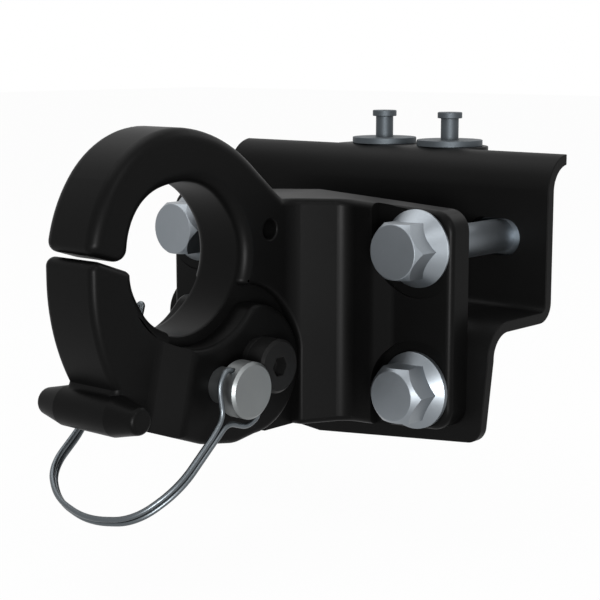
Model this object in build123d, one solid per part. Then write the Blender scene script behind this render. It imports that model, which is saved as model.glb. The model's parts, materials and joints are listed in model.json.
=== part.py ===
"""J-hook hitch adapter: a forged hook body with a hinged lower jaw, bolted to a crossmember bracket.

Millimetres. X runs across the hitch and is its plane of symmetry's normal, -Y points out to the
trailer and +Z points up. The origin is the middle of the bolt pattern on the plate's rear face.
"""
import os
from math import asin, cos, radians, sin, sqrt, tan

from build123d import *

# Flange plate
plate_half_width = 87.0
plate_thickness = 14.5
plate_edge_thickness = 13.0
plate_mid_height = 53.8
plate_end_height = 49.1
plate_corner_radius = 10.0
plate_edge_radius = 3.0
bolt_x = 68.5
bolt_z = 32.2
bolt_hole_diameter = 17.0
seat_radius = 22.5
seat_thickness = 13.2

# Neck between the plate and the hook
neck_front = -18.0
neck_shoulder_x = 31.2
neck_foot_x = 46.0
neck_foot_run = 10.0
neck_root_y = -39.0
neck_root_radius = 14.0
neck_shoulder_radius = 9.0
neck_foot_radius = 8.0

# Hook
body_half_thickness = 15.6
eye_y = -104.2
eye_z = 31.5
eye_radius = 33.1
eye_edge_radius = 5.5
rim_y = -107.0
rim_z = 38.5
rim_radius = 49.1
rim_edge_radius = 5.5
front_radius = 63.2
front_angle = 53.1
crown_radius = 73.5
crown_angle = 6.1
back_slope = 39.6
back_foot_radius = 11.0
tip_y = -156.0
tip_z = 38.3
tip_slope = 17.0
tip_outer_radius = 4.0
tip_inner_radius = 6.0
tip_gap = 1.7
tie_hole_y = -52.7
tie_hole_z = 40.1
tie_hole_diameter = 9.0
tie_hole_edge_radius = 1.0

# Lug and the jaw's pivot in it
pivot_y = -69.4
pivot_z = -17.2
lug_half_thickness = 12.0
lug_radius = 49.0
lug_bottom = -50.7
lug_flat_y = -88.0
lug_rise = 17.0
pocket_radius = 34.0
pocket_edge_radius = 2.5
bush_outer_diameter = 20.0
shoulder_diameter = 16.0
running_clearance = 0.05

# Lower jaw
fork_clearance = 0.3
root_clearance = 0.6
cheek_half_width = 23.5
cheek_end_y = -71.0
cheek_end_z = -20.2
cheek_end_radius = 29.2
cheek_eye_radius = 36.2
cheek_top_radius = 9.0
cheek_edge_radius = 2.5
belly_front_y = -131.5
belly_front_z = -38.0
belly_mid_y = -104.0
belly_mid_z = -48.0
belly_rear_y = -84.0
belly_rear_z = -51.3
belly_radius = 20.0
ramp_start_y = -126.0
ramp_end_y = -110.5
ramp_lean = 13.5
ramp_radius = 9.0
jaw_front = -158.2
jaw_bend_z = 25.8
jaw_toe_y = -147.0
jaw_toe_z = -18.2
jaw_edge_radius = 3.5
jaw_lip_radius = 4.5
jaw_corner_radius = 4.0
jaw_eye_back = 2.0
jaw_eye_drop = 1.4
jaw_eye_step = 1.9
jaw_travel = 45.0
toe_y = -146.1
toe_z = -28.9
toe_radius = 8.8
toe_end_radius = 6.2
toe_half_width = 30.0
toe_end_rounding = 2.4
toe_blend_radius = 3.5

# Pivot screw, its washers and its nut
pivot_head_diameter = 24.0
pivot_head_height = 10.0
pivot_head_chamfer = 1.2
pivot_socket_across_flats = 8.0
pivot_socket_depth = 6.0
pivot_washer_diameter = 24.0
pivot_washer_thickness = 2.8
pivot_thread_diameter = 12.0
pivot_nut_across_flats = 18.0
pivot_nut_height = 10.0
thread_overhang = 2.0

# Lock pin
lock_diameter = 16.0
lock_bore_clearance = 0.08
lock_slot_clearance = 0.35
lock_head_diameter = 24.8
lock_head_spacing = 0.34
lock_angle = 194.04
lock_head_length = 10.0
lock_head_chamfer = 1.2
lock_head_gap = 9.0
lock_end_x = -43.5
lock_collar_length = 2.8
lock_groove_length = 7.9
lock_groove_diameter = 13.0
lock_reach = (pivot_head_diameter + lock_head_diameter) / 2 + lock_head_spacing
lock_y = pivot_y + lock_reach * cos(radians(lock_angle))
lock_z = pivot_z + lock_reach * sin(radians(lock_angle))

# Retaining wire, bent in a plane through the lock pin's axis
wire_diameter = 2.4
wire_spacing = 2.7
wire_droop = 40.0
wire_hole_diameter = 3.0
wire_ear_gap = 0.7
wire_ear_reach = 9.3
wire_join_reach = 17.0
wire_near_x = 39.1
wire_near_start = 26.0
wire_near_end = 54.0
wire_loop_reach = 79.0
wire_loop_x = 4.0
wire_loop_run = 24.0
wire_loop_drop = 5.5
wire_far_x = -36.0
wire_far_end = 60.0
wire_far_start = 38.0
wire_tail_start = -19.5
wire_tail_end = -25.0
wire_tail_rise = 15.6

# Backing bracket
sheet_thickness = 5.0
bracket_right_x = 98.2
bracket_left_x = -104.0
web_front = 47.0
shelf_top = -1.2
top_z = 71.7
top_bend_radius = 12.0
web_bend_radius = 4.0
shelf_bend_radius = 11.0
top_full_depth = 62.5
tongue_half_width = 40.3
tongue_rear = 96.4
bracket_taper_z = -18.0
bracket_foot_half_width = 94.4
bracket_foot_z = -55.7
bracket_middle_z = -65.0
bracket_corner_radius = 8.0
web_slot_length = 29.0
web_slot_height = 17.5

# Flange bolts and nuts
bolt_diameter = 16.0
bolt_flange_diameter = 35.2
bolt_across_flats = 24.8
bolt_head_height = 18.8
bolt_chamfer_height = 3.8
upper_rim_height = 1.4
upper_cone_height = 7.2
upper_end_diameter = 24.6
lower_rim_height = 2.6
lower_cone_height = 5.4
lower_end_diameter = 22.6
bolt_overhang = 5.0
nut_flange_diameter = 30.0
nut_flange_height = 3.0
nut_height = 16.0
nut_chamfer = 1.5
thread_chamfer = 1.0
cone_step = 1.0

# Keyhole studs on the bracket's tongue
stud_x = 20.8
stud_y = 76.9
stud_diameter = 9.0
stud_height = 13.8
stud_head_diameter = 12.4
stud_head_height = 3.0
stud_head_chamfer = 0.3
stud_washer_diameter = 33.2
stud_washer_thickness = 3.1
stud_nut_across_flats = 15.0
stud_nut_height = 7.0

fastener_clearance = 0.05
far = 300.0


def disc(y, z, radius):
    """A round region of the side view."""
    return Pos(y, z) * Circle(radius)


def region(*points):
    """A straight-sided region of a view."""
    return make_face(Polyline(*points, close=True))


def across(side_view, half_width):
    """A side view carried across the hitch to both sides."""
    return extrude(Plane.YZ * side_view, half_width, both=True)


def rod(y, z, radius, x_from, x_to):
    """A round rod along X."""
    return Pos(x_from, y, z) * extrude(Plane.YZ * Circle(radius), x_to - x_from)


def turned(*outline):
    """A body turned about Z from its radius and height points."""
    return revolve(Plane.XZ * region(*outline), Axis.Z)


def hex_radius(across_flats):
    """The corner radius of a hexagon."""
    return across_flats / sqrt(3)


def side_faces(part, half_width):
    """Edges that lie in the two flank planes of a part."""
    return part.edges().filter_by(lambda edge: abs(abs(edge.center().X) - half_width) < 0.01
                                  and edge.bounding_box().size.X < 0.01)


def tip_line(y, drop=0.0):
    """Height of the hook's end face, or of a face that lies below it by drop."""
    return tip_z - drop / cos(radians(tip_slope)) - (y - tip_y) * tan(radians(tip_slope))


def plate_top(x):
    """Height of the plate's roof above the origin."""
    return plate_mid_height - abs(x) * (plate_mid_height - plate_end_height) / plate_half_width


def plate_front(x):
    """Front face of the plate, which thins a little towards its ends."""
    foot_x = neck_foot_x + neck_foot_run
    share = (abs(x) - foot_x) / (plate_half_width - foot_x)
    return share * (plate_thickness - plate_edge_thickness) - plate_thickness


def plate_and_neck():
    """Flange plate with the neck, one plan view under one roof line."""
    foot_x = neck_foot_x + neck_foot_run
    half = [
        (body_half_thickness, neck_root_y - neck_root_radius),
        (body_half_thickness, neck_root_y),
        (neck_shoulder_x, neck_front),
        (neck_foot_x, neck_front),
        (foot_x, plate_front(foot_x)),
        (plate_half_width, plate_front(plate_half_width)),
    ]
    radii = [0, neck_root_radius, neck_shoulder_radius, neck_shoulder_radius, neck_foot_radius, 0]
    other_half = [(-x, y) for x, y in reversed(half)]
    plan = make_face(
        FilletPolyline(
            *half,
            (plate_half_width, 0),
            (-plate_half_width, 0),
            *other_half,
            radius=radii + [0, 0] + radii[::-1],
            close=True,
        )
    )
    front_view = region(
        (plate_half_width, plate_end_height),
        (0, plate_mid_height),
        (-plate_half_width, plate_end_height),
        (-plate_half_width, -plate_end_height),
        (0, -plate_mid_height),
        (plate_half_width, -plate_end_height),
    )
    corners = front_view.vertices().filter_by(lambda corner: abs(corner.X) > 1)
    front_view = fillet(corners, plate_corner_radius)
    block = extrude(plan, far, both=True) & extrude(Plane.XZ * front_view, far, both=True)
    outline = block.edges().filter_by(
        lambda edge: edge.center().Y < -plate_edge_thickness / 2
        and abs(edge.center().Z) > plate_end_height - 2 * plate_corner_radius
        or abs(edge.center().X) > plate_half_width - 0.01 and edge.center().Y < -plate_edge_thickness / 2
    )
    inner = outline.filter_by(lambda edge: edge.center().Y > neck_root_y - neck_root_radius / 2)
    return fillet(inner, plate_edge_radius)


def bolt_seat(x, z):
    """Spot face round a bolt that runs off the plate's nearer long edge."""
    slot = Pos(x, z) * Circle(seat_radius)
    slot += Pos(x, z * far / bolt_z / 2) * Rectangle(2 * seat_radius, abs(z * far / bolt_z) - 2 * abs(z))
    return Pos(0, -seat_thickness, 0) * extrude(Plane.XZ * slot, far)


def eye_cutter(y, z, radius, edge_radius):
    """The eye's bore about one axis, with both of its mouths rounded over."""
    half_thickness = body_half_thickness
    straight = half_thickness - edge_radius
    mouth = radius + edge_radius
    with BuildSketch() as section:
        with BuildLine():
            Polyline((mouth, far), (0, far), (0, -far), (mouth, -far), (mouth, -half_thickness))
            RadiusArc((mouth, -half_thickness), (radius, -straight), edge_radius)
            Line((radius, -straight), (radius, straight))
            RadiusArc((radius, straight), (mouth, half_thickness), edge_radius)
            Line((mouth, half_thickness), (mouth, far))
        make_face()
    spun = revolve(Plane.XZ * section.sketch, Axis.Z)
    return Pos(0, y, z) * Rot(0, 90, 0) * spun


def tangent_centre(radius, angle):
    """Centre of an arc that leaves the rim's circle smoothly at an angle from its top."""
    lean = radians(angle)
    return rim_y + (rim_radius - radius) * sin(lean), rim_z + (rim_radius - radius) * cos(lean)


def hook_side_view():
    """Side view of the hook with its web back to the plate and the jaw's mouth cut out."""
    front = tangent_centre(front_radius, -front_angle)
    crown = tangent_centre(crown_radius, crown_angle)
    back_y = crown[0] + crown_radius * sin(radians(back_slope))
    back_z = crown[1] + crown_radius * cos(radians(back_slope))
    foot_z = plate_top(body_half_thickness)
    foot_y = back_y + (back_z - foot_z) / tan(radians(back_slope))
    inside_y = -plate_thickness / 2
    with BuildSketch() as outline:
        with BuildLine():
            nose = CenterArc(front, front_radius, 90 + front_angle, front_angle)
            CenterArc((rim_y, rim_z), rim_radius, 90 - crown_angle, crown_angle + front_angle)
            CenterArc(crown, crown_radius, 90 - back_slope, back_slope - crown_angle)
            FilletPolyline((back_y, back_z), (foot_y, foot_z), (inside_y, foot_z), radius=back_foot_radius)
            Polyline((inside_y, foot_z), (inside_y, lug_bottom), (pivot_y, lug_bottom),
                     (pivot_y, pivot_z), nose @ 1)
        make_face()
    lug = disc(pivot_y, pivot_z, lug_radius)
    rise = tan(radians(lug_rise)) * far
    lug -= region((far, lug_bottom), (lug_flat_y, lug_bottom), (lug_flat_y - far, lug_bottom + rise),
                  (lug_flat_y - far, -far), (far, -far))
    left = rim_y - far
    mouth = region((left, tip_line(left)), (eye_y, tip_line(eye_y)), (eye_y, pivot_z),
                   (pivot_y, pivot_z), (pivot_y, -far), (left, -far))
    mouth -= disc(pivot_y, pivot_z, lug_radius)
    view = outline.sketch + lug - disc(eye_y, eye_z, eye_radius) - mouth
    outer = view.vertices().sort_by_distance((tip_y, tip_line(tip_y)))[0]
    view = fillet(outer, tip_outer_radius)
    inner_y = eye_y - eye_radius
    inner = view.vertices().sort_by_distance((inner_y, tip_line(inner_y)))[0]
    return fillet(inner, tip_inner_radius)


def cheek_pocket():
    """Room for a jaw cheek beside the lug, open to the front and below."""
    wall_y = pivot_y + pocket_radius
    room = disc(pivot_y, pivot_z, pocket_radius)
    room += region((wall_y, pivot_z), (pivot_y, pivot_z + pocket_radius / 2), (pivot_y, -far), (wall_y, -far))
    room += region((pivot_y, pivot_z + pocket_radius), (-far, pivot_z + pocket_radius), (-far, -far),
                   (pivot_y, -far))
    return room


def on_pocket_rim(edge):
    """Whether an edge runs along the round wall of a cheek pocket, outside the lug's flank."""
    for share in (0.1, 0.5, 0.9):
        point = edge @ share
        reach = sqrt((point.Y - pivot_y) ** 2 + (point.Z - pivot_z) ** 2)
        if abs(reach - pocket_radius) > 0.05 or abs(point.X) < lug_half_thickness + 0.2:
            return False
    return True


def lock_slot():
    """Path of the lock pin through the lug while the jaw swings open."""
    path = CenterArc((pivot_y, pivot_z), lock_reach, lock_angle, jaw_travel)
    return SlotArc(path, lock_diameter + 2 * lock_slot_clearance)


def hook_body():
    """Forged body: plate, neck, hook, eye and the pivot lug."""
    hook = across(hook_side_view(), body_half_thickness)
    rim_edges = side_faces(hook, body_half_thickness).filter_by(
        lambda edge: edge.center().Z > pivot_z + pocket_radius
    )
    hook = fillet(rim_edges, rim_edge_radius)
    body = plate_and_neck() + hook
    wall_x = lug_half_thickness + far / 2
    for side in (-1, 1):
        body -= Pos(side * wall_x, 0, 0) * across(cheek_pocket(), far / 2)
    body -= eye_cutter(eye_y, eye_z, eye_radius, eye_edge_radius)
    body -= rod(tie_hole_y, tie_hole_z, tie_hole_diameter / 2, -far, far)
    tie_rims = body.edges().filter_by(GeomType.CIRCLE).filter_by(
        lambda edge: abs(edge.radius - tie_hole_diameter / 2) < 0.01
    )
    body = fillet(tie_rims, tie_hole_edge_radius)
    body -= rod(pivot_y, pivot_z, bush_outer_diameter / 2, -far, far)
    body -= across(lock_slot(), far)
    for x in (-bolt_x, bolt_x):
        for z in (-bolt_z, bolt_z):
            body -= bolt_seat(x, z)
            body -= Pos(x, far / 2, z) * extrude(Plane.XZ * Circle(bolt_hole_diameter / 2), far)
    return fillet(body.edges().filter_by(on_pocket_rim), pocket_edge_radius)


def pivot_bush():
    """Plain bush pressed in the lug."""
    sleeve = rod(pivot_y, pivot_z, bush_outer_diameter / 2, -lug_half_thickness, lug_half_thickness)
    return sleeve - rod(pivot_y, pivot_z, shoulder_diameter / 2 + running_clearance, -far, far)


def jaw_eye():
    """Axis and radius of the jaw's part of the eye, a step inside the hook's."""
    return eye_y + jaw_eye_back, eye_z - jaw_eye_drop, eye_radius - jaw_eye_step


def blade():
    """Front of the jaw, from its end face down to the toe, as wide as the hook."""
    face_y, face_z, face_radius = jaw_eye()
    top_front = tip_line(jaw_front, tip_gap)
    inner_y = face_y - face_radius
    inside_y = inner_y + 2 * jaw_lip_radius
    inside = (inside_y, tip_line(inside_y, tip_gap))
    with BuildSketch() as view:
        with BuildLine():
            Polyline(inside, (jaw_front, top_front), (jaw_front, jaw_bend_z))
            TangentArc((jaw_front, jaw_bend_z), (jaw_toe_y, jaw_toe_z), tangent=(0, -1))
            Polyline((jaw_toe_y, jaw_toe_z), (toe_y - toe_radius / 2, toe_z), (toe_y, toe_z - toe_radius),
                     (belly_front_y, belly_front_z), (belly_mid_y, belly_mid_z), (ramp_end_y, eye_z), inside)
        make_face()
    view = view.sketch - disc(face_y, face_z, face_radius) + disc(toe_y, toe_z, toe_radius)
    view -= disc(pivot_y, pivot_z, lug_radius + root_clearance)
    outer = view.vertices().sort_by_distance((jaw_front, top_front))[0]
    view = fillet(outer, tip_outer_radius)
    inner = view.vertices().sort_by_distance((inner_y, tip_line(inner_y, tip_gap)))[0]
    view = fillet(inner, jaw_corner_radius)
    hollow = view.vertices().sort_by_distance((jaw_toe_y, toe_z + toe_radius))[0]
    view = fillet(hollow, toe_blend_radius)
    piece = across(view, body_half_thickness)
    outer_edges = side_faces(piece, body_half_thickness).filter_by(
        lambda edge: edge.center().Y < inner_y and edge.center().Z > toe_z
    )
    piece = fillet(outer_edges, jaw_edge_radius)
    return piece - eye_cutter(face_y, face_z, face_radius, jaw_lip_radius)


def cheeks():
    """Fork of the jaw, with a ramp on each side down to the blade's width."""
    face_y, face_z, face_radius = jaw_eye()
    side_view = region((belly_front_y, belly_front_z), (belly_mid_y, belly_mid_z),
                       (belly_rear_y, belly_rear_z), (cheek_end_y, cheek_end_z - cheek_end_radius),
                       (cheek_end_y, cheek_end_z), (face_y, face_z), (belly_front_y, face_z))
    for y, z in ((belly_mid_y, belly_mid_z), (belly_rear_y, belly_rear_z)):
        side_view = fillet(side_view.vertices().sort_by_distance((y, z))[0], belly_radius)
    side_view += disc(cheek_end_y, cheek_end_z, cheek_end_radius)
    side_view -= disc(face_y, face_z, cheek_eye_radius)
    top = side_view.vertices().sort_by_distance((cheek_end_y, cheek_end_z + cheek_end_radius))[0]
    side_view = fillet(top, cheek_top_radius)
    body = across(side_view, cheek_half_width)
    body = fillet(side_faces(body, cheek_half_width), cheek_edge_radius)
    plan_half = [
        (body_half_thickness, jaw_front),
        (body_half_thickness, ramp_start_y),
        (cheek_half_width, ramp_end_y),
        (cheek_half_width, 0),
    ]
    mirrored = [(-x, y) for x, y in reversed(plan_half)]
    radii = [0, ramp_radius, ramp_radius, 0]
    plan = make_face(FilletPolyline(*plan_half, *mirrored, radius=radii + radii[::-1], close=True))
    lean = Vector(0, -sin(radians(ramp_lean)), -cos(radians(ramp_lean)))
    lift = far / 4
    start = Vector(0, 0, pivot_z) - lean * lift
    column = extrude(Pos(*start) * plan, amount=2 * lift, dir=lean)
    return body & column


def toe_bar():
    """Cross bar at the jaw's toe, which thins towards its rounded ends."""
    half = [(body_half_thickness, toe_radius), (toe_half_width, toe_end_radius), (toe_half_width, 0)]
    other_half = [(-x, radius) for x, radius in reversed(half)]
    bar = revolve(region(*half, *other_half), Axis.X)
    rims = bar.edges().filter_by(lambda edge: abs(edge.center().X) > toe_half_width - 0.01)
    return Pos(0, toe_y, toe_z) * fillet(rims, toe_end_rounding)


def lower_jaw():
    """Hinged lower jaw: blade, toe bar and a fork of two cheeks round the lug."""
    jaw = blade() + cheeks() + toe_bar()
    fork = disc(pivot_y, pivot_z, lug_radius + root_clearance)
    jaw -= across(fork, lug_half_thickness + fork_clearance)
    jaw -= rod(pivot_y, pivot_z, shoulder_diameter / 2 + fastener_clearance, -far, far)
    jaw -= rod(lock_y, lock_z, lock_diameter / 2 + lock_bore_clearance, -far, far)
    return jaw


def pivot_washer(side):
    """Plain washer against one cheek; the far one fits the thread."""
    bore = shoulder_diameter if side > 0 else pivot_thread_diameter
    inner = side * cheek_half_width
    outer = side * (cheek_half_width + pivot_washer_thickness)
    ring = rod(pivot_y, pivot_z, pivot_washer_diameter / 2, min(inner, outer), max(inner, outer))
    return ring - rod(pivot_y, pivot_z, bore / 2 + fastener_clearance, -far, far)


def pivot_screw():
    """Shoulder screw with a socket head."""
    head_x = cheek_half_width + pivot_washer_thickness
    face_x = head_x + pivot_head_height
    head = rod(pivot_y, pivot_z, pivot_head_diameter / 2, head_x, face_x)
    rim = head.edges().filter_by(GeomType.CIRCLE).sort_by(Axis.X)[-1]
    head = chamfer(rim, pivot_head_chamfer)
    socket = RegularPolygon(hex_radius(pivot_socket_across_flats), 6)
    head -= Pos(face_x - pivot_socket_depth, pivot_y, pivot_z) * extrude(Plane.YZ * socket, far)
    shoulder_end = -cheek_half_width + fastener_clearance
    screw = head + rod(pivot_y, pivot_z, shoulder_diameter / 2, shoulder_end, head_x)
    thread_end = -face_x - thread_overhang
    return screw + rod(pivot_y, pivot_z, pivot_thread_diameter / 2, thread_end, shoulder_end)


def pivot_nut():
    """Hexagon nut on the pivot screw."""
    bearing_x = -cheek_half_width - pivot_washer_thickness
    nut = extrude(Plane.YZ * RegularPolygon(hex_radius(pivot_nut_across_flats), 6), -pivot_nut_height)
    nut = Pos(bearing_x, pivot_y, pivot_z) * nut
    return nut - rod(pivot_y, pivot_z, pivot_thread_diameter / 2 + fastener_clearance, -far, far)


def lock_pin():
    """Headed lock pin with a cross hole for its wire and a groove at the far end."""
    head_x = cheek_half_width + lock_head_gap
    face_x = head_x + lock_head_length
    head = rod(lock_y, lock_z, lock_head_diameter / 2, head_x, face_x)
    head = chamfer(head.edges().filter_by(GeomType.CIRCLE), lock_head_chamfer)
    shank = rod(lock_y, lock_z, lock_diameter / 2, lock_end_x, head_x)
    shank = chamfer(shank.edges().filter_by(GeomType.CIRCLE).sort_by(Axis.X)[0], lock_head_chamfer)
    groove_x = lock_end_x + lock_collar_length
    groove = rod(lock_y, lock_z, lock_diameter, groove_x, groove_x + lock_groove_length)
    groove -= rod(lock_y, lock_z, lock_groove_diameter / 2, -far, far)
    pin = head + shank - groove
    hole = Cylinder(wire_hole_diameter / 2, 2 * lock_head_diameter)
    return pin - Pos(wire_pivot_x(), lock_y, lock_z) * Rot(wire_droop, 0, 0) * hole


def wire_pivot_x():
    """Middle of the lock pin's head, where the wire passes through it."""
    return cheek_half_width + lock_head_gap + lock_head_length / 2


def wire_point(x, reach, rise):
    """A point of the wire from its place in the plane of its loop and its height above that plane."""
    lean = radians(wire_droop)
    y = lock_y - reach * cos(lean) - rise * sin(lean)
    z = lock_z - reach * sin(lean) + rise * cos(lean)
    return Vector(x, y, z)


def wire_far_rise(reach):
    """Height of the wire's far run, which leans on the lock pin's groove."""
    seat = (lock_groove_diameter + wire_diameter) / 2 + fastener_clearance
    return (wire_far_start - reach) * tan(asin(seat / wire_far_start))


def wire_strand(side):
    """Half of the wire, from the cross hole round the loop to the middle of its hairpin end."""
    hole_x = wire_pivot_x()
    half = side * wire_spacing / 2
    slant = half / sqrt(2)
    ear = side * (lock_head_diameter / 2 + wire_diameter + wire_ear_gap)
    shoulder_reach = wire_loop_reach - wire_loop_drop
    loop = [(wire_near_x, wire_near_start), (wire_near_x, wire_near_end),
            (wire_loop_x + wire_loop_run, shoulder_reach), (wire_loop_x, wire_loop_reach),
            (wire_loop_x - wire_loop_run, shoulder_reach), (wire_far_x, wire_far_end),
            (wire_far_x, wire_far_start)]
    points = [
        wire_point(hole_x, 0, 0),
        wire_point(hole_x, 0, ear),
        wire_point(hole_x, wire_ear_reach, 0.9 * ear),
        wire_point((hole_x + wire_near_x) / 2, wire_join_reach, half + side * wire_ear_gap),
    ]
    points += [wire_point(x, reach, half) for x, reach in loop]
    twist_reach = 2 / 3 * wire_far_start
    turned_reach = wire_far_start / 3
    points += [
        wire_point(wire_far_x + slant, twist_reach, wire_far_rise(twist_reach) + slant),
        wire_point(wire_far_x + half, turned_reach, wire_far_rise(turned_reach)),
        wire_point(wire_far_x + half, wire_tail_start, wire_far_rise(wire_tail_start)),
        wire_point(wire_far_x + half, wire_tail_end, wire_tail_rise),
        wire_point(wire_far_x, wire_tail_end, wire_tail_rise),
    ]
    return points


def bend_radii(points):
    """Arcs as large as the runs on both sides of each corner leave room for."""
    radii = []
    for before, corner, after in zip(points, points[1:], points[2:]):
        turn = radians((corner - before).get_angle(after - corner))
        shorter = min((corner - before).length, (after - corner).length)
        radii.append(0.45 * shorter / tan(turn / 2))
    return radii


def pin_wire():
    """Spring wire, doubled, that swings in the lock pin's head and snaps over its far end."""
    wire = None
    for side in (1, -1):
        points = wire_strand(side)
        radii = bend_radii(points)
        radii[-1] = wire_spacing / 2 - 0.01
        path = FilletPolyline(*points, radius=radii)
        section = Plane(path @ 0, z_dir=path % 0) * Circle(wire_diameter / 2)
        strand = sweep(section, path=path)
        wire = strand if wire is None else wire + strand
    return wire


def backing_bracket():
    """Folded sheet bracket: lower web, shelf, upper web and a top flange with a tongue."""
    web_rear = web_front + sheet_thickness
    shelf_under = shelf_top - sheet_thickness
    top_under = top_z - sheet_thickness
    floor_z = bracket_middle_z - sheet_thickness
    section = make_face(
        FilletPolyline(
            (0, floor_z),
            (0, shelf_top),
            (web_front, shelf_top),
            (web_front, top_z),
            (tongue_rear, top_z),
            (tongue_rear, top_under),
            (web_rear, top_under),
            (web_rear, shelf_under),
            (sheet_thickness, shelf_under),
            (sheet_thickness, floor_z),
            radius=[
                0,
                shelf_bend_radius + sheet_thickness,
                web_bend_radius,
                top_bend_radius + sheet_thickness,
                0,
                0,
                top_bend_radius,
                web_bend_radius + sheet_thickness,
                shelf_bend_radius,
                0,
            ],
            close=True,
        )
    )
    front_view = region(
        (bracket_right_x, far),
        (bracket_right_x, bracket_taper_z),
        (bracket_foot_half_width, bracket_foot_z),
        (0, bracket_middle_z),
        (-bracket_foot_half_width, bracket_foot_z),
        (bracket_left_x, bracket_taper_z),
        (bracket_left_x, far),
    )
    feet = front_view.vertices().filter_by(
        lambda corner: abs(corner.Y - bracket_foot_z) < 1 and abs(corner.X) > 1
    )
    front_view = fillet(feet, bracket_corner_radius)
    plan = Pos(0, (top_full_depth - far) / 2) * Rectangle(far, far + top_full_depth)
    corner = tongue_half_width - stud_x
    tongue = Rectangle(2 * tongue_half_width, far)
    plan += Pos(0, tongue_rear - far / 2) * fillet(tongue.vertices(), corner)
    bracket = across(section, far)
    bracket &= extrude(Plane.XZ * front_view, far, both=True)
    bracket &= extrude(plan, far, both=True)
    for x in (-bolt_x, bolt_x):
        slot = SlotOverall(web_slot_length, web_slot_height)
        bracket -= Pos(x, far, bolt_z) * extrude(Plane.XZ * slot, far)
        bracket -= Pos(x, far / 2, -bolt_z) * extrude(Plane.XZ * Circle(bolt_hole_diameter / 2), far)
    for x in (-stud_x, stud_x):
        bracket -= Pos(x, stud_y, top_z) * Cylinder(stud_diameter / 2 + fastener_clearance, far / 10)
    return bracket


def flange_bolt(length, rim_height, cone_height, end_diameter):
    """Hexagon flange bolt; its seat is at the origin and its head points up."""
    corner = hex_radius(bolt_across_flats)
    shank = bolt_diameter / 2
    flange = turned((0, -length), (shank - thread_chamfer, -length), (shank, thread_chamfer - length),
                    (shank, 0), (bolt_flange_diameter / 2, 0), (bolt_flange_diameter / 2, rim_height),
                    (corner - cone_step, cone_height), (0, cone_height))
    head = extrude(RegularPolygon(corner, 6), bolt_head_height)
    head &= turned((0, 0), (corner, 0), (corner, bolt_head_height - bolt_chamfer_height),
                   (end_diameter / 2, bolt_head_height), (0, bolt_head_height))
    return flange + head


def flange_nut():
    """Hexagon flange nut; its seat is at the origin and it points up."""
    corner = hex_radius(bolt_across_flats)
    nut = turned((0, 0), (nut_flange_diameter / 2, 0), (nut_flange_diameter / 2, nut_flange_height / 2),
                 (corner - cone_step, nut_flange_height + cone_step), (0, nut_flange_height + cone_step))
    head = extrude(RegularPolygon(corner, 6), nut_height)
    head &= turned((0, 0), (corner, 0), (corner, nut_height - nut_chamfer),
                   (corner - nut_chamfer, nut_height), (0, nut_height))
    return nut + head - Cylinder(bolt_diameter / 2 + fastener_clearance, far)


def stud():
    """Keyhole stud; its washer's underside is at the origin."""
    shank = stud_diameter / 2
    head = stud_head_diameter / 2
    top = stud_washer_thickness + stud_height
    neck = top - stud_head_height
    bottom = -sheet_thickness - stud_nut_height - thread_overhang
    return turned((0, bottom), (shank, bottom),
                  (shank, neck), (head, neck), (head, top - stud_head_chamfer),
                  (head - stud_head_chamfer, top), (0, top))


def stud_washer():
    """Plain washer under a stud's shoulder."""
    washer = extrude(Circle(stud_washer_diameter / 2), stud_washer_thickness)
    return washer - Cylinder(stud_diameter / 2 + fastener_clearance, far)


def stud_nut():
    """Hexagon nut under the bracket's tongue."""
    nut = extrude(RegularPolygon(hex_radius(stud_nut_across_flats), 6), -stud_nut_height)
    return Pos(0, 0, -sheet_thickness) * nut - Cylinder(stud_diameter / 2 + fastener_clearance, far)


def save(name, shape):
    """Write one piece."""
    shape.label = name
    export_step(shape, "parts/" + name + ".step")
    print(name, round(shape.volume, 1), len(shape.solids()))


def main():
    os.makedirs("parts", exist_ok=True)
    save("hook_body", hook_body())
    save("backing_bracket", backing_bracket())
    save("pivot_bush", pivot_bush())
    save("lower_jaw", lower_jaw())
    save("pivot_screw", pivot_screw())
    save("pivot_washer_near", pivot_washer(1))
    save("pivot_washer_far", pivot_washer(-1))
    save("pivot_nut", pivot_nut())
    save("lock_pin", lock_pin())
    save("pin_wire", pin_wire())

    seat_y = -seat_thickness
    upper_length = web_front + sheet_thickness - seat_y + nut_height + bolt_overhang
    lower_length = sheet_thickness - seat_y + nut_height + bolt_overhang
    upper_bolt = flange_bolt(upper_length, upper_rim_height, upper_cone_height, upper_end_diameter)
    lower_bolt = flange_bolt(lower_length, lower_rim_height, lower_cone_height, lower_end_diameter)
    for name, x in (("right", bolt_x), ("left", -bolt_x)):
        forward = Rot(90, 0, 0)
        backward = Rot(-90, 0, 0)
        save("upper_bolt_" + name, Pos(x, seat_y, bolt_z) * forward * upper_bolt)
        save("lower_bolt_" + name, Pos(x, seat_y, -bolt_z) * forward * lower_bolt)
        upper_seat = web_front + sheet_thickness
        save("upper_nut_" + name, Pos(x, upper_seat, bolt_z) * backward * flange_nut())
        save("lower_nut_" + name, Pos(x, sheet_thickness, -bolt_z) * backward * flange_nut())
    for name, x in (("right", stud_x), ("left", -stud_x)):
        save("stud_" + name, Pos(x, stud_y, top_z) * stud())
        save("stud_washer_" + name, Pos(x, stud_y, top_z) * stud_washer())
        save("stud_nut_" + name, Pos(x, stud_y, top_z) * stud_nut())


main()
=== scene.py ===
# %% [markdown]
# # A hitch hook in black powder coat and zinc
# The part is a forged hook on a flange plate, with a hinged lower jaw, a lock pin on a spring wire
# and a folded bracket behind it. Its sizes are already fixed by the engineering model, so this lesson
# loads that model and works on what the eye sees: the finishes, the soft edges of forged steel, the
# bolts' rolled threads and the lamps that show them.

# %% [markdown]
# ## The engineering model
# Every node is one real piece: a forging, a folded sheet, a bolt, a washer, a wire. They arrive in metres
# and in their working places, grouped in the four bodies that move as one: hook, jaw, pin and wire.

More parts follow.
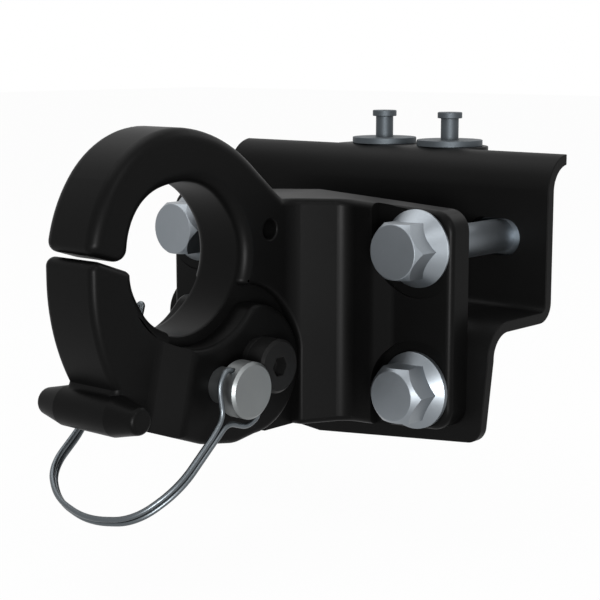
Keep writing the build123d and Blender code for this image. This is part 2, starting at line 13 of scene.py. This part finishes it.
# %% Load the engineering model
import json
from math import atan2, cos, pi, radians, sin, sqrt

import bmesh
import bpy
from mathutils import Matrix, Vector


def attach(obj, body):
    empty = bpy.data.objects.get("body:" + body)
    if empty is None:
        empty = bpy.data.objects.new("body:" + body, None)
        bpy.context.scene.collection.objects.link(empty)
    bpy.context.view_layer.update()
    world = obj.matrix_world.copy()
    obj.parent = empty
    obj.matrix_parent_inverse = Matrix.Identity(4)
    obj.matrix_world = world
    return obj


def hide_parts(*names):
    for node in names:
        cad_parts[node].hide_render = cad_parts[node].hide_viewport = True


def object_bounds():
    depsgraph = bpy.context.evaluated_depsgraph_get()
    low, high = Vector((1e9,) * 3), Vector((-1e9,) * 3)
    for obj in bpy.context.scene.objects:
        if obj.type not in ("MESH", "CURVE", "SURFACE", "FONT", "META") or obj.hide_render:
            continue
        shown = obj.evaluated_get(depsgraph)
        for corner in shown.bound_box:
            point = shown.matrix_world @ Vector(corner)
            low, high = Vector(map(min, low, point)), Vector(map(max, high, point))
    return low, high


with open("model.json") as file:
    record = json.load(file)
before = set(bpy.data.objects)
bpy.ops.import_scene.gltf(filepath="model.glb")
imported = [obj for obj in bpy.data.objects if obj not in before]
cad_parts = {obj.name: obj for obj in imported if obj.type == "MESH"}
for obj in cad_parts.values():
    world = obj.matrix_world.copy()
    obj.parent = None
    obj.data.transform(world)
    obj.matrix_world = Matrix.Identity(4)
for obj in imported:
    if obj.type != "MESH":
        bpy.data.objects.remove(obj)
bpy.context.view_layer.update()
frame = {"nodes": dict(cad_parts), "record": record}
nodes = frame["nodes"]
mm = 0.001

# %% [markdown]
# ## Camera
# The photograph was taken from the front right, a little above the hook. Its straight edges give the
# direction and the round bolt heads give the lens, so the camera is set from those numbers. A long
# lens keeps the ring nearly round and the plate's edges nearly parallel.

# %% Camera at the photograph's viewpoint
azimuth = radians(40.96)
elevation = radians(9.28)
lens_mm, sensor_mm = 92.43, 36
camera_place = Vector((476.04, -562.84, 120.36)) * mm

camera = bpy.data.objects.new("camera", bpy.data.cameras.new("camera"))
camera.data.lens = lens_mm
camera.data.sensor_width = sensor_mm
camera.data.clip_start = 0.05
camera.location = camera_place
camera.rotation_euler = (pi / 2 - elevation, 0, azimuth)
bpy.context.scene.collection.objects.link(camera)
bpy.context.scene.camera = camera
print("camera distance to the hook, m:", round(camera_place.length, 3))

# %% [markdown]
# ## Studio
# The photograph has a white background and soft light: broad light from above, and a narrower one near
# the camera that the slanted faces return. The white comes from what the camera sees in the sky and on
# the floor, not from more light, so black paint stays black.

# %% World that is white to look at and dim as a lamp
scene = bpy.context.scene
scene.view_settings.view_transform = "Standard"
world = bpy.data.worlds.new("studio")
scene.world = world
world.use_nodes = True


def add_node(tree, kind, inputs=None, **settings):
    """Add a node, set it, and fill or link its inputs."""
    node = tree.nodes.new(kind)
    for name, value in settings.items():
        setattr(node, name, value)
    for socket, value in (inputs or {}).items():
        if isinstance(value, bpy.types.NodeSocket):
            tree.links.new(value, node.inputs[socket])
        else:
            node.inputs[socket].default_value = value
    return node


def seen_directly(tree):
    """A factor that is 1 where a camera, mirror or glass ray arrives, and 0 for light that spreads."""
    path = add_node(tree, "ShaderNodeLightPath")
    direct = add_node(tree, "ShaderNodeMath", {0: path.outputs["Is Camera Ray"],
                                               1: path.outputs["Is Glossy Ray"]}, operation="ADD")
    return add_node(tree, "ShaderNodeMath", {0: direct.outputs[0], 1: path.outputs["Is Transmission Ray"]},
                    operation="ADD", use_clamp=True).outputs[0]


sky_light, white = 0.3, (1, 1, 1, 1)
tree = world.node_tree
tree.nodes.clear()
dim_sky = add_node(tree, "ShaderNodeBackground", {"Color": white, "Strength": sky_light})
bright_sky = add_node(tree, "ShaderNodeBackground", {"Color": white, "Strength": 1.0})
sky = add_node(tree, "ShaderNodeMixShader",
               {0: seen_directly(tree), 1: dim_sky.outputs[0], 2: bright_sky.outputs[0]})
add_node(tree, "ShaderNodeOutputWorld", {"Surface": sky.outputs[0]})
print("sky light", sky_light)

# %% [markdown]
# ## Paper floor
# A product is photographed on a sweep of white paper. Here it is a plane a little below the part, and
# nearly all that the camera sees of it is plain white. The small rest is a matte surface that takes the
# part's shadow, so that the hook doesn't look cut out.

# %% Floor that keeps a faint shadow
floor_drop, floor_half_size, paper_grey, white_share = 0.03, 6.0, (0.8, 0.8, 0.8, 1), 0.97
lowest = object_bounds()[0][2]
floor_mesh = bpy.data.meshes.new("floor")
grid = bmesh.new()
bmesh.ops.create_grid(grid, x_segments=1, y_segments=1, size=floor_half_size)
bmesh.ops.translate(grid, verts=grid.verts, vec=(0, 0, lowest - floor_drop))
grid.to_mesh(floor_mesh)
grid.free()
floor = bpy.data.objects.new("floor", floor_mesh)
scene.collection.objects.link(floor)
paper = bpy.data.materials.new("white paper floor")
paper.use_nodes = True
tree = paper.node_tree
tree.nodes.clear()
matte = add_node(tree, "ShaderNodeBsdfDiffuse", {"Color": paper_grey})
glow = add_node(tree, "ShaderNodeEmission", {"Color": white, "Strength": 1.0})
share = add_node(tree, "ShaderNodeMath", {0: seen_directly(tree), 1: white_share}, operation="MULTIPLY")
mixed = add_node(tree, "ShaderNodeMixShader",
                 {0: share.outputs[0], 1: matte.outputs[0], 2: glow.outputs[0]})
add_node(tree, "ShaderNodeOutputMaterial", {"Surface": mixed.outputs[0]})
floor_mesh.materials.append(paper)
print("floor height, m:", round(lowest - floor_drop, 4))

# %% [markdown]
# ## Lamps
# Soft light comes from large lamps close by. The broad one above lights the crowns and the flanges. The
# small one beside the camera is mirrored by every edge and face that looks back at it, which draws the
# forging's rounded edges. Two weak ones fill the right side and the bracket's bend.


# %% Soft lamps
def soft_lamp(name, place, aim, width, height, power):
    """A rectangular lamp that points at a place on the object."""
    light = bpy.data.lights.new(name, "AREA")
    light.shape = "RECTANGLE"
    light.size = width
    light.size_y = height
    light.energy = power
    lamp = bpy.data.objects.new(name, light)
    lamp.location = place
    lamp.rotation_euler = (Vector(aim) - Vector(place)).to_track_quat("-Z", "Y").to_euler()
    scene.collection.objects.link(lamp)


hook_middle = (0, -0.07, 0)
soft_lamp("overhead", (-0.25, -0.15, 1.1), hook_middle, 1.2, 1.0, 7)
soft_lamp("beside_camera", (0.85, -0.9, -0.03), hook_middle, 0.3, 0.3, 24)
soft_lamp("right_up", (0.95, -0.25, 0.85), hook_middle, 0.5, 0.5, 3)
soft_lamp("rear_up", (0.3, 1.0, 0.8), hook_middle, 0.8, 0.5, 2)

# %% [markdown]
# ## Colours and patterns
# The forgings and the bracket wear black polyester powder coat. The bolts, studs and nuts are carbon
# steel with a dull zinc plate, the pin is ground steel and the keeper is drawn spring wire. Colours are
# easier to pick as screen colours, but light adds up in linear ones, so one function turns them. Patterns
# read the piece's own coordinates, so that they stay on the steel when it moves.


# %% Colour and material helpers
def linear(hex_colour):
    """The linear colour of an sRGB hex value."""
    channels = [int(hex_colour[i:i + 2], 16) / 255 for i in (1, 3, 5)]
    return tuple(c / 12.92 if c <= 0.04045 else ((c + 0.055) / 1.055) ** 2.4 for c in channels) + (1,)


def per_mm(size):
    """Texture scale whose pattern repeats about every size millimetres."""
    return 1 / (size * mm)


def start_material(name):
    """An empty material, its node tree, and the place on the piece that its patterns read."""
    material = bpy.data.materials.new(name)
    material.use_nodes = True
    tree = material.node_tree
    tree.nodes.clear()
    return material, tree, add_node(tree, "ShaderNodeTexCoord").outputs["Object"]


# %% [markdown]
# ## Powder coat
# Powder is sprayed on dry and melts into a skin about 0.1 mm thick. It never levels quite flat: it keeps
# a shallow orange peel, which breaks up the edges of a reflection, and a fine grain, which makes it satin.
# An image would show both, but noise of a known size needs no picture and is right at any distance.

# %% Black powder coat
def powder_coat(name, dark, light, roughness):
    """Polyester powder coat: satin black with a shallow orange peel and a fine grain."""
    peel_mm, peel_relief_mm, grain_mm, grain_relief_mm, cloud_mm = 1.6, 0.03, 0.5, 0.012, 35
    gloss_spread, sheen_level = 0.05, 0.055
    material, tree, place = start_material(name)
    peel = add_node(tree, "ShaderNodeTexNoise", {"Vector": place, "Scale": per_mm(peel_mm), "Detail": 2.0})
    grain = add_node(tree, "ShaderNodeTexNoise", {"Vector": place, "Scale": per_mm(grain_mm), "Detail": 1.0})
    cloud = add_node(tree, "ShaderNodeTexNoise", {"Vector": place, "Scale": per_mm(cloud_mm), "Detail": 3.0})
    colour = add_node(tree, "ShaderNodeMix", {0: cloud.outputs["Fac"], 6: linear(dark), 7: linear(light)},
                      data_type="RGBA")
    gloss = add_node(tree, "ShaderNodeMapRange", {"Value": cloud.outputs["Fac"],
                                                  "To Min": roughness - gloss_spread,
                                                  "To Max": roughness + gloss_spread})
    fine = add_node(tree, "ShaderNodeBump", {"Height": grain.outputs["Fac"], "Strength": 0.5,
                                             "Distance": grain_relief_mm * mm})
    coarse = add_node(tree, "ShaderNodeBump", {"Height": peel.outputs["Fac"], "Strength": 0.6,
                                               "Distance": peel_relief_mm * mm, "Normal": fine.outputs[0]})
    surface = add_node(tree, "ShaderNodeBsdfPrincipled",
                       {"Base Color": colour.outputs[2], "Roughness": gloss.outputs[0],
                        "Normal": coarse.outputs[0], "Specular IOR Level": sheen_level})
    add_node(tree, "ShaderNodeOutputMaterial", {"Surface": surface.outputs[0]})
    return material


# %% [markdown]
# ## Metals
# Zinc plate from a barrel is dull and slightly blue. Ground and drawn steel are warmer and darker. They
# could be told apart by colour alone, but the eye reads gloss first, so each has its own roughness and
# its own grain.

# %% Plated and bare metals
def metal(name, dark, light, roughness, grain_mm, relief_mm):
    """Bare or plated metal: a grain varies its gloss and its relief, and a slow cloud varies its tone."""
    cloud_mm, gloss_spread = 14, 0.08
    material, tree, place = start_material(name)
    grain = add_node(tree, "ShaderNodeTexNoise", {"Vector": place, "Scale": per_mm(grain_mm), "Detail": 4.0})
    cloud = add_node(tree, "ShaderNodeTexNoise", {"Vector": place, "Scale": per_mm(cloud_mm), "Detail": 2.0})
    colour = add_node(tree, "ShaderNodeMix", {0: cloud.outputs["Fac"], 6: linear(dark), 7: linear(light)},
                      data_type="RGBA")
    gloss = add_node(tree, "ShaderNodeMapRange", {"Value": grain.outputs["Fac"],
                                                  "To Min": roughness - gloss_spread,
                                                  "To Max": roughness + gloss_spread})
    relief = add_node(tree, "ShaderNodeBump", {"Height": grain.outputs["Fac"], "Strength": 0.5,
                                               "Distance": relief_mm * mm})
    surface = add_node(tree, "ShaderNodeBsdfPrincipled",
                       {"Base Color": colour.outputs[2], "Roughness": gloss.outputs[0],
                        "Normal": relief.outputs[0], "Metallic": 1.0})
    add_node(tree, "ShaderNodeOutputMaterial", {"Surface": surface.outputs[0]})
    return material


# %% [markdown]
# ## One finish for each surface in the record
# Each finish starts from what the real surface is, and its comment says what that gives the eye. The
# grain of plate and ground steel is finer than a pixel, so it is drawn at 0.5 to 0.8 mm, as coarse as it
# needs to be to show.

# %% Finishes
finishes = {
    # Powder coat on forged steel: deep black, with a soft sheen that follows the rounded edges.
    "forged_body": powder_coat("powder coat on the forging", "#050505", "#080808", 0.4),
    "forged_jaw": powder_coat("powder coat on the jaw", "#050505", "#080808", 0.4),
    # Powder coat on folded sheet: a shade greyer and duller than on the forgings.
    "bracket_paint": powder_coat("powder coat on sheet", "#090909", "#0c0c0c", 0.44),
    # Black oxide on turned steel: the grey of steel shows faintly through the black.
    "black_pivot": powder_coat("black oxide on the pivot", "#0f0f0f", "#141414", 0.4),
    # Zinc plate from a barrel: pale, slightly blue and dull, so that facets differ in tone, not in glare.
    "zinc_bolts": metal("dull zinc plate on bolts", "#777d82", "#83888d", 0.43, 0.8, 0.01),
    # Zinc plate on studs: the same plate as on the bolts, but its colour is painted darker as painted shade.
    "zinc_studs": metal("dull zinc plate on studs with painted shade", "#464b4f", "#505559", 0.6, 0.8, 0.01),
    # Ground steel: neutral, with a broad highlight along the pin.
    "pin_steel": metal("ground pin steel", "#6c6f70", "#777a7a", 0.46, 0.6, 0.008),
    # Drawn spring wire: darker, with the narrow bright line that a die leaves.
    "wire_steel": metal("drawn spring wire", "#52575a", "#606569", 0.38, 0.5, 0.006),
    # Sintered bronze: brown and open-pored, seen only when the hinge is taken apart.
    "bush_bronze": metal("sintered bronze", "#6d5735", "#7e663f", 0.5, 0.5, 0.01),
}
slot_of = {part["node"]: part["material_slot"] for part in frame["record"]["subparts"]}
print("finishes", len(finishes))

# %% [markdown]
# ## Finishes on the nodes
# The engineering record names the surface of each node. That name picks the finish, so a new bolt or
# washer would be plated without another line.

# %% Give every engineering node its finish
for name, node in nodes.items():
    node.data.materials.clear()
    node.data.materials.append(finishes[slot_of[name]])
print("finished nodes", len(nodes))

# %% [markdown]
# ## Eased edges on the nuts, washers, studs, pins and the bracket
# No real edge is perfectly sharp: cold heading and plating leave every corner of a nut or washer with a
# radius of a few tenths of a millimetre, a sheared sheet is tumbled before it is painted, and that radius
# is what glints. It could come from a bevel shader, but real geometry also survives the export, so each
# piece becomes a merged copy of its engineering mesh, with its flat faces joined and its sharp edges
# bevelled.

# %% Eased copies
bodies = frame["record"]["behaviour"]["bodies"]
body_of = {name: body for body, names in bodies.items() for name in names}
sharp_angle, round_over_angle, flat_angle = radians(14), radians(50), radians(0.5)
merge_mm = 0.001


def merged_copy(name):
    """An editable copy of a node, with its loose triangles joined."""
    shape = bmesh.new()
    shape.from_mesh(nodes[name].data)
    bmesh.ops.remove_doubles(shape, verts=shape.verts, dist=merge_mm * mm)
    return shape


def finish_piece(shape, piece_name, name, crease_angle, normals=None):
    """Make an object of a shape, with the finish and the body of the node that it stands for."""
    mesh = bpy.data.meshes.new(piece_name)
    shape.to_mesh(mesh)
    shape.free()
    mesh.shade_smooth()
    mesh.set_sharp_from_angle(angle=crease_angle)
    mesh.materials.append(finishes[slot_of[name]])
    piece = bpy.data.objects.new(piece_name, mesh)
    scene.collection.objects.link(piece)
    if normals:
        mesh.normals_split_custom_set(normals)
    else:
        flat = piece.modifiers.new("flat faces stay flat", "WEIGHTED_NORMAL")
        flat.keep_sharp = True
    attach(piece, body_of[name])
    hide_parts(name)
    return piece


def eased_copy(name, width):
    """A node's copy, its flat faces made whole and every sharp edge bevelled by a width in millimetres."""
    shape = merged_copy(name)
    bmesh.ops.dissolve_limit(shape, angle_limit=flat_angle, verts=shape.verts, edges=shape.edges)
    sharp = [edge for edge in shape.edges
             if len(edge.link_faces) == 2 and edge.calc_face_angle() > round_over_angle]
    bmesh.ops.bevel(shape, geom=sharp, offset=width * mm, offset_type="OFFSET", affect="EDGES", segments=2,
                    profile=0.5, material=-1, clamp_overlap=True)
    return finish_piece(shape, "eased_" + name, name, sharp_angle)


eased_widths = {"upper_nut": 0.3, "lower_nut": 0.3, "stud": 0.25,
                "pivot_washer": 0.25, "pivot_screw": 0.3, "pivot_nut": 0.3, "lock_pin": 0.3,
                "backing_bracket": 0.5}
for name in nodes:
    for start, width in eased_widths.items():
        if name.startswith(start):
            piece = eased_copy(name, width)
            print(piece.name, "faces", len(piece.data.polygons))
            break

# %% [markdown]
# ## Flange bolts with a rolled thread
# A flange bolt's head is forged: its hexagon runs out into a round top, its flange is a flat cone that
# the hexagon dips into, and its thread is rolled. It could be a turned body with a hexagon cut out of it,
# but all of it is rings about one axis, some round, some six-sided, so each bolt is one circle that is
# extruded ring by ring. The radius of a ring may depend on the angle, which gives both the hexagon and a
# true spiral thread.


# %% Rings about an axis
ring_segments = 48
flange_radius, across_flats, head_height, shoulder_height = 17.6, 24.8, 18.8, 15.2
corner_radius, cone_inset = across_flats / sqrt(3), 1
end_rise, edge_round, rim_rise, rim_fall = 0.15, 0.3, 0.12, 0.2
shank_radius, thread_depth, thread_pitch, steps_per_turn, runout_steps = 8.0, 1.1, 2.0, 8, 4


def round_ring(radius):
    """The same radius at every angle."""
    return lambda angle: radius


def hexagon(angle):
    """Radius of a hexagon whose corner is at angle 0."""
    return across_flats / 2 / cos(angle % (pi / 3) - pi / 6)


def next_ring(shape, edges, radius_at, height_at):
    """Extrude a ring of edges and set the new ring's radius and height in millimetres by angle."""
    grown = bmesh.ops.extrude_edge_only(shape, edges=edges)["geom"]
    for vert in (item for item in grown if isinstance(item, bmesh.types.BMVert)):
        angle = atan2(vert.co.y, vert.co.x)
        radius = radius_at(angle)
        vert.co = Vector((cos(angle) * radius, sin(angle) * radius, height_at(angle))) * mm
    return [item for item in grown if isinstance(item, bmesh.types.BMEdge)]


def thread_radius(height):
    """Radius round a ring of a right-hand thread at a height."""
    def at(angle):
        turn = (height / thread_pitch + angle / (2 * pi)) % 1
        return shank_radius - thread_depth * abs(2 * turn - 1)
    return at


# %% One bolt
def flange_bolt(name, end_radius, rim_height, cone_height, length, thread_length, place):
    """A flange bolt whose seat is at a place, with its head towards the trailer."""
    end_height = head_height - end_rise
    end_slope = (end_height - shoulder_height) / (corner_radius - end_radius)
    cone_slope = (cone_height - rim_height) / (flange_radius - (corner_radius - cone_inset))
    shape = bmesh.new()
    bmesh.ops.create_circle(shape, cap_ends=True, segments=ring_segments,
                            radius=(end_radius - edge_round) * mm)
    bmesh.ops.translate(shape, verts=shape.verts, vec=(0, 0, head_height * mm))
    bmesh.ops.reverse_faces(shape, faces=shape.faces)
    edges = next_ring(shape, list(shape.edges), round_ring(end_radius), lambda angle: end_height)
    edges = next_ring(shape, edges, hexagon,
                      lambda angle: end_height - end_slope * (hexagon(angle) - end_radius))
    edges = next_ring(shape, edges, hexagon,
                      lambda angle: rim_height + cone_slope * (flange_radius - hexagon(angle)))
    for radius, height in ((flange_radius - edge_round, rim_height + rim_rise),
                           (flange_radius, rim_height - rim_fall), (flange_radius, edge_round),
                           (flange_radius - edge_round, 0), (shank_radius, 0),
                           (shank_radius, thread_length - length)):
        edges = next_ring(shape, edges, round_ring(radius), lambda angle: height)
    for step in range(1, int(thread_length / thread_pitch * steps_per_turn) - runout_steps):
        height = thread_length - length - step * thread_pitch / steps_per_turn
        edges = next_ring(shape, edges, thread_radius(height), lambda angle: height)
    edges = next_ring(shape, edges, round_ring(shank_radius - thread_depth), lambda angle: -length)
    bmesh.ops.contextual_create(shape, geom=edges)
    bmesh.ops.recalc_face_normals(shape, faces=shape.faces)
    bmesh.ops.rotate(shape, verts=shape.verts, cent=(0, 0, 0), matrix=Matrix.Rotation(pi / 2, 3, "X"))
    bmesh.ops.translate(shape, verts=shape.verts, vec=Vector(place) * mm)
    return finish_piece(shape, "rolled_" + name, name, sharp_angle)


bolt_x, bolt_z, seat_y = 68.5, 32.2, -13.2
for side, x in (("right", bolt_x), ("left", -bolt_x)):
    upper = flange_bolt("upper_bolt_" + side, 12.3, 1.4, 7.2, 86.2, 20, (x, seat_y, bolt_z))
    lower = flange_bolt("lower_bolt_" + side, 11.3, 2.6, 5.4, 39.2, 24, (x, seat_y, -bolt_z))
    print(side, "bolts:", len(upper.data.polygons), len(lower.data.polygons), "faces")

# %% [markdown]
# ## The forgings by hand
# A forged eye is opened with a drift and dressed by hand, so its inside isn't a true circle: it swells
# towards the upper front and the rear, and the jaw's part of it is fuller at its mouth. The toe bar is
# slimmer at its ends for the same reason. Sculpting would do this, but a few smooth pushes on a merged
# copy of each forging say exactly how far each place moves, and leave the flat faces flat.


# %% Pushes round the eye and at the toe
def swell(value, middle, width):
    """A bump of height 1 that fades smoothly to nothing at width from its middle."""
    reach = min(abs(value - middle) / width, 1)
    return (1 - reach * reach) ** 2


def push_out(shape, centre_y, centre_z, zone, bumps):
    """Move what lies within a zone round an axis along X outwards, by bumps at angles round the axis."""
    for vert in shape.verts:
        y, z = vert.co.y / mm - centre_y, vert.co.z / mm - centre_z
        reach = sqrt(y * y + z * z)
        if reach > zone:
            continue
        angle = atan2(z, y) / pi * 180 % 360
        push = sum(height * swell((angle - middle + 180) % 360, 180, width)
                   for middle, width, height in bumps)
        vert.co.y += y / reach * push * mm
        vert.co.z += z / reach * push * mm


def dressed_copy(piece_name, name, dress):
    """A merged copy reshaped by a function, shaded by the corner normals of the node it stands for."""
    source = nodes[name].data
    shape = bmesh.new()
    shape.from_mesh(source)
    origin = shape.faces.layers.int.new("origin")
    home = shape.verts.layers.float_vector.new("home")
    for face in shape.faces:
        face[origin] = face.index
    for vert in shape.verts:
        vert[home] = vert.co
    bmesh.ops.remove_doubles(shape, verts=shape.verts, dist=merge_mm * mm)
    dress(shape)
    normals = []
    for face in shape.faces:
        corners = [source.loops[index] for index in source.polygons[face[origin]].loop_indices]
        for corner in face.loops:
            place = corner.vert[home]
            nearest = min(corners, key=lambda item: (place - source.vertices[item.vertex_index].co).length)
            normals.append(nearest.normal.copy())
    return finish_piece(shape, piece_name, name, pi, normals)


eye_centre, eye_radius, eye_rounding = (-104.2, 31.5), 33.1, 5.5
jaw_centre, jaw_radius, jaw_rounding = (-102.2, 30.1), 31.2, 4.5
# A bump is the angle of its middle and how far it reaches, in degrees, and its height in millimetres.
eye_bumps, jaw_bumps = [(138, 42, 2.1), (355, 50, 1.9)], [(180, 32, 2.4), (212, 40, 1.3)]
body_half, zone_margin = 15.6, 0.05
toe_y, toe_z, toe_zone, toe_slimming = -146.1, -28.9, 9.2, 0.1


def dress_eye(shape):
    """Open the hook's eye at its upper front and its rear."""
    push_out(shape, *eye_centre, eye_radius + eye_rounding + zone_margin, eye_bumps)


def dress_jaw(shape):
    """Open the jaw's part of the eye and slim the ends of the toe bar."""
    push_out(shape, *jaw_centre, jaw_radius + jaw_rounding + zone_margin, jaw_bumps)
    for vert in shape.verts:
        y, z = vert.co.y / mm - toe_y, vert.co.z / mm - toe_z
        if sqrt(y * y + z * z) < toe_zone:
            share = min(max((abs(vert.co.x) / mm - body_half) / body_half, 0), 1)
            vert.co.y -= y * share * toe_slimming * mm
            vert.co.z -= z * share * toe_slimming * mm


forging = dressed_copy("forged_hook", "hook_body", dress_eye)
jaw = dressed_copy("forged_jaw", "lower_jaw", dress_jaw)
print("forgings", len(forging.data.polygons), len(jaw.data.polygons), "faces")
